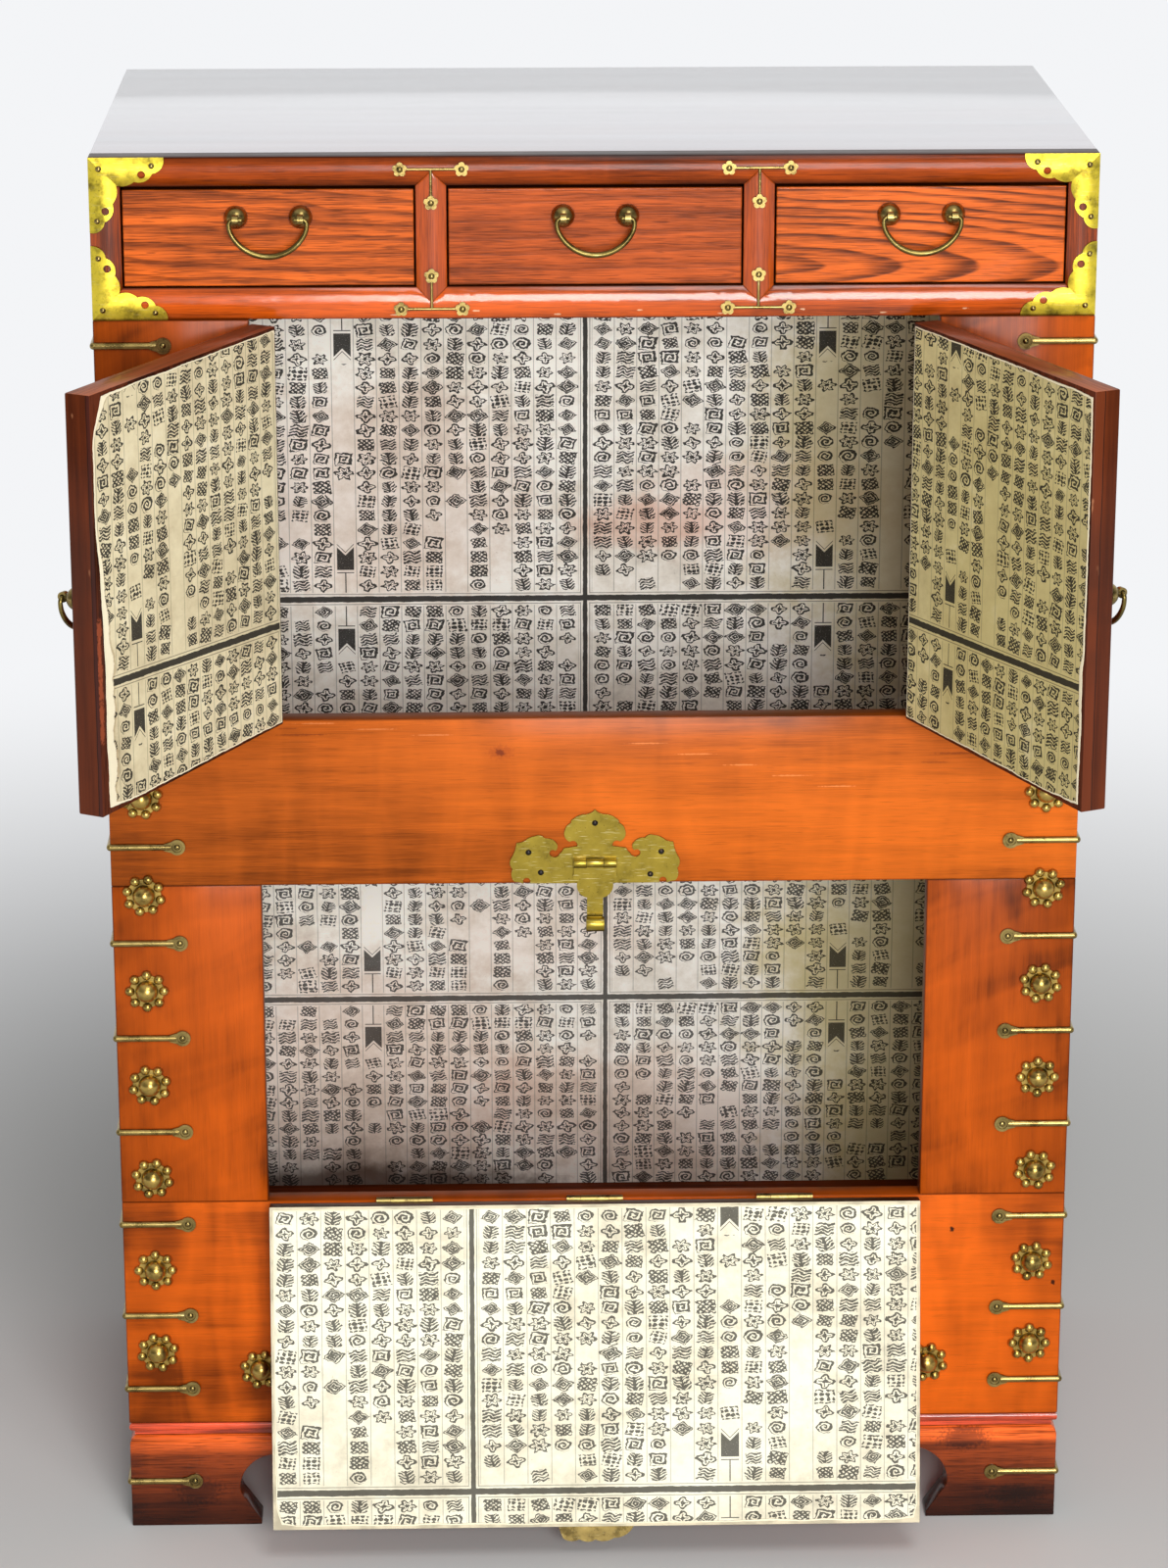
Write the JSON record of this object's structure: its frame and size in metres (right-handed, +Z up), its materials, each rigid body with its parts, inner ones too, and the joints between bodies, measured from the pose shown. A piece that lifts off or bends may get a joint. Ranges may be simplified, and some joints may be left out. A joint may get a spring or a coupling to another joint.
{
  "type": "korean two tier chest",
  "caption": "Two-tier wooden storage chest with small drawers on top, a compartment with side-hinged doors, one with a bottom-hinged drop door, and brass fittings.",
  "frame": {"origin": "on the floor at the centre of the chest's rectangular footprint, doors not counted", "axes": "+Z up, +Y towards the chest's back, +X to the right of a person facing its front"},
  "size_m": [0.7659, 0.6682, 1.117],
  "materials": {
    "lacquered_wood": "satin orange lacquer",
    "inner_wood": "bare",
    "frame_wood": "glossy red-brown lacquer",
    "drawer_wood": "satin lacquer, open grain",
    "base_wood": "dark worn lacquer",
    "paper": "aged, matt",
    "bright_brass": "polished",
    "aged_brass": "aged satin",
    "dark_iron": "dark"
  },
  "bodies": {
    "carcass": {"left_side_panel": "lacquered_wood", "right_side_panel": "lacquered_wood", "top_board": "lacquered_wood", "upper_side_stiles": "lacquered_wood", "mid_board": "lacquered_wood", "lower_posts": "lacquered_wood", "bottom_board": "lacquered_wood", "base_bead": "lacquered_wood", "back_panel": "inner_wood", "drawer_deck": "inner_wood", "drawer_partitions": "inner_wood", "compartment_divider": "inner_wood", "lower_floor": "inner_wood", "closing_stops": "inner_wood", "top_rail": "frame_wood", "drawer_rail": "frame_wood", "drawer_end_stiles": "frame_wood", "drawer_muntins": "frame_wood", "base_front": "base_wood", "base_sides": "base_wood", "base_back": "base_wood", "upper_lining": "paper", "lower_lining": "paper", "corner_plates": "bright_brass", "tee_braces": "aged_brass", "corner_straps": "aged_brass", "flower_studs": "aged_brass", "hasp_plate": "aged_brass", "carcass_hinge_leaves": "aged_brass", "dome_nails": "dark_iron", "hinge_pins": "dark_iron", "hasp_pin": "dark_iron"},
    "drawer_left": {"drawer_left_front": "drawer_wood", "drawer_left_box": "inner_wood", "drawer_left_pull_posts": "aged_brass"},
    "drawer_left_bail": {"drawer_left_bail": "aged_brass"},
    "drawer_middle": {"drawer_middle_front": "drawer_wood", "drawer_middle_box": "inner_wood", "drawer_middle_pull_posts": "aged_brass"},
    "drawer_middle_bail": {"drawer_middle_bail": "aged_brass"},
    "drawer_right": {"drawer_right_front": "drawer_wood", "drawer_right_box": "inner_wood", "drawer_right_pull_posts": "aged_brass"},
    "drawer_right_bail": {"drawer_right_bail": "aged_brass"},
    "left_door": {"left_door": "lacquered_wood", "left_door_lining": "paper", "left_door_hinge_leaves": "aged_brass", "left_door_pull_posts": "aged_brass"},
    "left_door_bail": {"left_door_bail": "aged_brass"},
    "right_door": {"right_door": "lacquered_wood", "right_door_lining": "paper", "right_door_hinge_leaves": "aged_brass", "right_door_pull_posts": "aged_brass"},
    "right_door_bail": {"right_door_bail": "aged_brass"},
    "drop_door": {"drop_door": "lacquered_wood", "drop_door_lining": "paper", "drop_door_hinge_leaves": "aged_brass", "lock_plate": "aged_brass"},
    "hasp": {"hasp_leaf": "aged_brass"}
  },
  "joints": [
    {"name": "drawer_left_slide", "type": "slide", "parent": "carcass", "child": "drawer_left", "axis": [0, -1, 0], "range_m": [0, 0.25]},
    {"name": "drawer_left_bail_hinge", "type": "hinge", "parent": "drawer_left", "child": "drawer_left_bail", "pos_m": [-0.24275, -0.219, 1.072], "axis": [-1, 0, 0], "range_deg": [-15, 100]},
    {"name": "drawer_middle_slide", "type": "slide", "parent": "carcass", "child": "drawer_middle", "axis": [0, -1, 0], "range_m": [0, 0.25]},
    {"name": "drawer_middle_bail_hinge", "type": "hinge", "parent": "drawer_middle", "child": "drawer_middle_bail", "pos_m": [0, -0.219, 1.072], "axis": [-1, 0, 0], "range_deg": [-15, 100]},
    {"name": "drawer_right_slide", "type": "slide", "parent": "carcass", "child": "drawer_right", "axis": [0, -1, 0], "range_m": [0, 0.25]},
    {"name": "drawer_right_bail_hinge", "type": "hinge", "parent": "drawer_right", "child": "drawer_right_bail", "pos_m": [0.24275, -0.219, 1.072], "axis": [-1, 0, 0], "range_deg": [-15, 100]},
    {"name": "left_door_hinge", "type": "hinge", "parent": "carcass", "child": "left_door", "pos_m": [-0.259, -0.2131, 0.839], "axis": [0, 0, -1], "range_deg": [-118, 47]},
    {"name": "left_door_bail_hinge", "type": "hinge", "parent": "left_door", "child": "left_door_bail", "pos_m": [-0.37239, -0.40741, 0.8425], "axis": [0.4695, 0.8829, 0], "range_deg": [-15, 100]},
    {"name": "right_door_hinge", "type": "hinge", "parent": "carcass", "child": "right_door", "pos_m": [0.259, -0.2131, 0.839], "axis": [0, 0, 1], "range_deg": [-114, 51]},
    {"name": "right_door_bail_hinge", "type": "hinge", "parent": "right_door", "child": "right_door_bail", "pos_m": [0.35857, -0.41485, 0.8425], "axis": [0.4067, -0.9135, 0], "range_deg": [-15, 100]},
    {"name": "drop_door_hinge", "type": "hinge", "parent": "carcass", "child": "drop_door", "pos_m": [0, -0.2131, 0.2845], "axis": [1, 0, 0], "range_deg": [-168, 0]},
    {"name": "hasp_hinge", "type": "hinge", "parent": "carcass", "child": "hasp", "pos_m": [0, -0.2146, 0.5664], "axis": [-1, 0, 0], "range_deg": [0, 150]}
  ]
}
